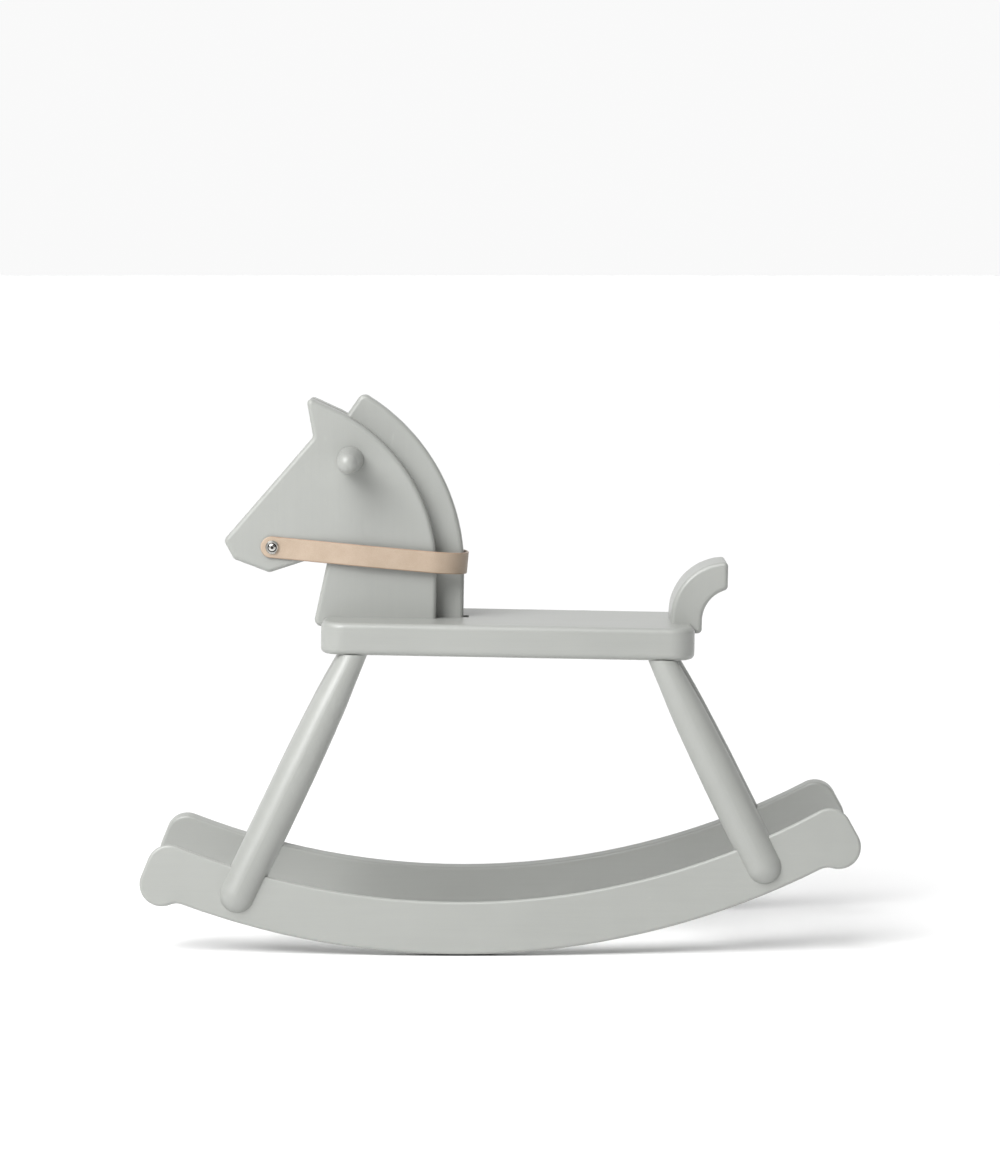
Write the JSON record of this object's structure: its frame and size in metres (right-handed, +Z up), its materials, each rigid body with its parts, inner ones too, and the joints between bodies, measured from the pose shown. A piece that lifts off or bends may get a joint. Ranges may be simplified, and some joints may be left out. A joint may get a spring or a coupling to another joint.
{
  "type": "rocking horse",
  "caption": "Toddler rocking horse with a plank seat, splayed turned legs on bent runners, a cut-out head with side handles and a leather rein loop.",
  "frame": {"origin": "on the floor under the middle of the horse's box", "axes": "+Z up; the horse faces -X and its tail is towards +X; its left side is -Y; it stands in its own rest pose, with the seat one degree down at the tail"},
  "size_m": [0.722, 0.2836, 0.5555],
  "materials": {
    "paint": "satin light grey paint on wood",
    "beech": "bare turned dowel",
    "leather": "undyed vegetable-tanned leather",
    "nickel": "polished nickel plate",
    "zinc": "zinc plated"
  },
  "bodies": {
    "horse": {"seat_board": "paint", "neck_board": "paint", "cheek_left": "paint", "cheek_right": "paint", "handle_left": "paint", "handle_right": "paint", "tail_block": "paint", "leg_front_left": "paint", "leg_front_right": "paint", "leg_rear_left": "paint", "leg_rear_right": "paint", "runner_left": "paint", "runner_right": "paint", "head_dowels": "beech", "runner_dowels": "beech", "rein_screw_left": "nickel", "rein_screw_right": "nickel", "rein_washer_left": "nickel", "rein_washer_right": "nickel", "neck_screws": "zinc", "tail_screws": "zinc"},
    "reins": {"rein_strap": "leather"}
  },
  "joints": [
    {"name": "rein_swing", "type": "hinge", "parent": "horse", "child": "reins", "pos_m": [-0.23174, 0, 0.40196], "axis": [0, -1, 0], "range_deg": [0, 40]}
  ]
}
